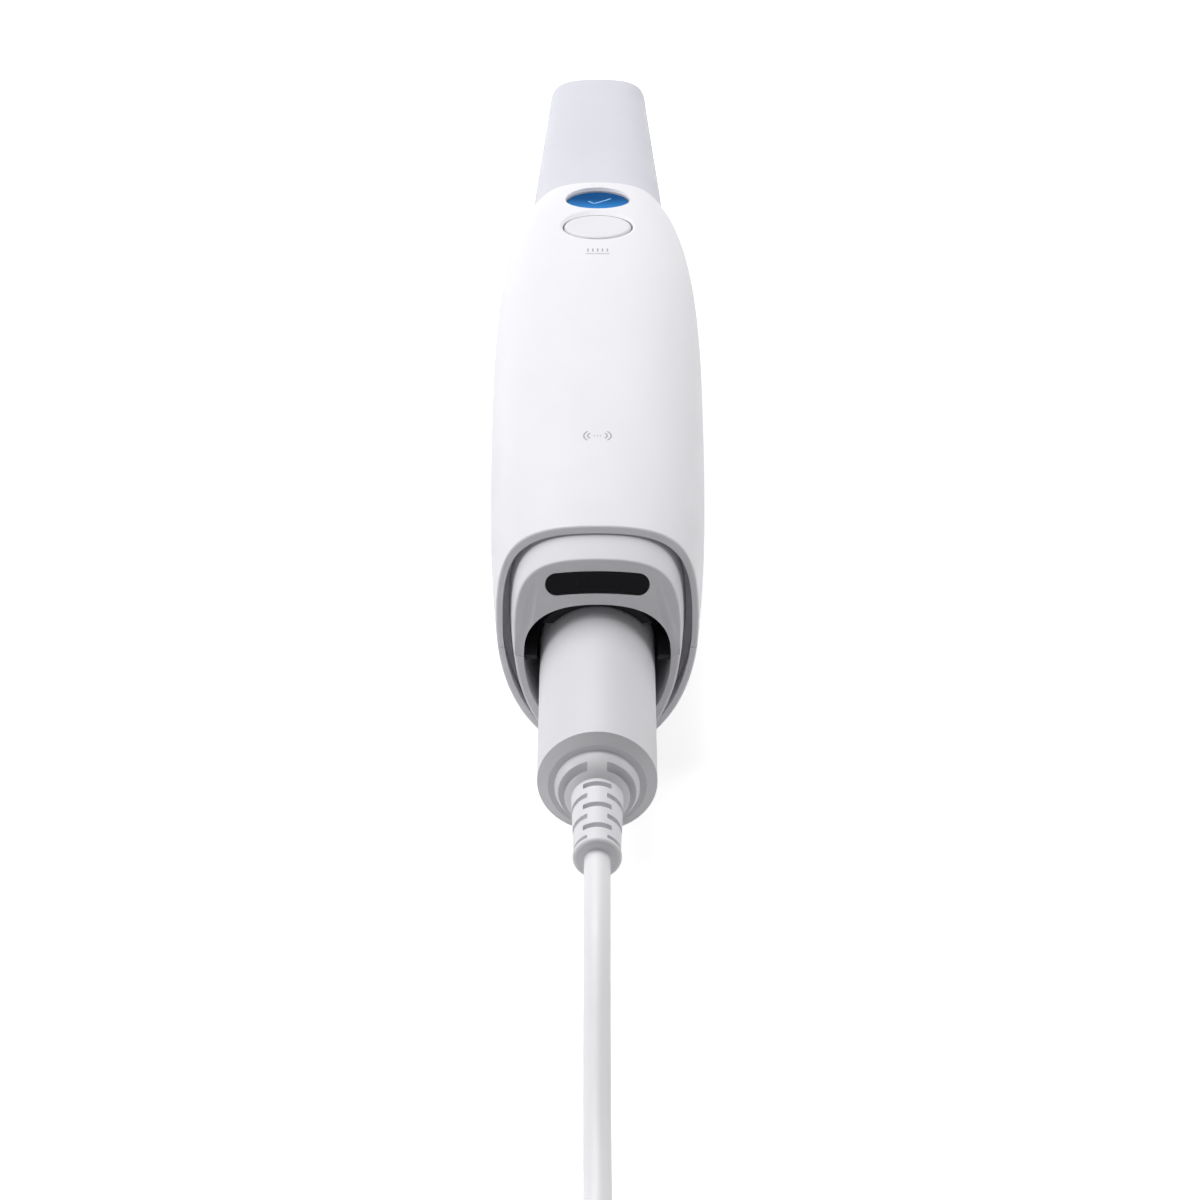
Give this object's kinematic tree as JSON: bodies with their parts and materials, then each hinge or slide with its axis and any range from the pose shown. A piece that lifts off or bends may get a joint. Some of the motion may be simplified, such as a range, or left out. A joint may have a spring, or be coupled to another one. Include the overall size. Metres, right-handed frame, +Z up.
{
  "type": "intraoral scanner",
  "caption": "Dental handheld scanner: a rounded handle with push buttons, a slanted plug end with status window and cable, and a pull-off tip with a mirror over its scan window.",
  "frame": {"origin": "under the middle of the handle and tip's length, on the plane the belly's flat land rests on", "axes": "+X across, +Y from the cable end to the tip, +Z up to the buttons"},
  "size_m": [0.072, 0.4742, 0.0474],
  "materials": {
    "shell_white": "satin",
    "bezel_white": "satin",
    "tip_grey": "fine matt",
    "tip_mirror": "polished",
    "button_blue": "gloss",
    "button_white": "gloss",
    "window_dark": "gloss",
    "socket_black": "matt",
    "seal_grey": "matt",
    "plug_white": "satin",
    "relief_white": "matt",
    "cable_white": "matt",
    "tie_black": "woven",
    "host_steel": "bright",
    "contact_brass": "gilt",
    "board_green": "lacquer",
    "chip_black": "matt",
    "light_yellow": "gloss",
    "screw_steel": "plain",
    "chassis_metal": "plain",
    "barrel_black": "matt",
    "lens_glass": "coated"
  },
  "bodies": {
    "handle": {"upper_shell": "shell_white", "lower_shell": "shell_white", "rear_bezel": "bezel_white", "rear_gasket": "seal_grey", "status_window": "window_dark", "status_board": "board_green", "connector_socket": "socket_black", "socket_pins": "contact_brass", "socket_board": "board_green", "chassis_tray": "chassis_metal", "chassis_screws": "screw_steel", "main_board": "board_green", "board_screws": "screw_steel", "processor": "chip_black", "thermal_pad": "seal_grey", "heat_sink": "chassis_metal", "lens_block": "chassis_metal", "projector_barrel": "barrel_black", "projector_lens": "lens_glass", "light_board": "board_green", "light_source": "light_yellow", "camera_barrels": "barrel_black", "camera_lenses": "lens_glass", "camera_boards": "board_green", "nose_barrel": "barrel_black", "nose_glass": "lens_glass", "nose_gasket": "seal_grey", "button_board": "board_green", "button_switches": "chip_black"},
    "tip": {"tip_sleeve": "tip_grey", "tip_mirror": "tip_mirror"},
    "scan_key": {"scan_button": "button_blue"},
    "control_key": {"control_button": "button_white"},
    "cable": {"plug_body": "plug_white", "plug_core": "socket_black", "plug_contacts": "contact_brass", "strain_relief": "relief_white", "cable_run": "cable_white", "cable_coil": "cable_white", "cable_tail": "cable_white", "coil_tie": "tie_black", "host_plug": "plug_white", "host_shell": "host_steel"}
  },
  "joints": [
    {"name": "tip_slide", "type": "slide", "parent": "handle", "child": "tip", "axis": [0, 1, 0], "range_m": [0, 0.05]},
    {"name": "scan_press", "type": "slide", "parent": "handle", "child": "scan_key", "axis": [0, -0.1279, -0.9918], "range_m": [0, 0.0008], "stiffness_N_per_m": 2500},
    {"name": "control_press", "type": "slide", "parent": "handle", "child": "control_key", "axis": [0, -0.1279, -0.9918], "range_m": [0, 0.0008], "stiffness_N_per_m": 2500},
    {"name": "plug_slide", "type": "slide", "parent": "handle", "child": "cable", "axis": [0, -1, 0], "range_m": [0, 0.045]}
  ]
}
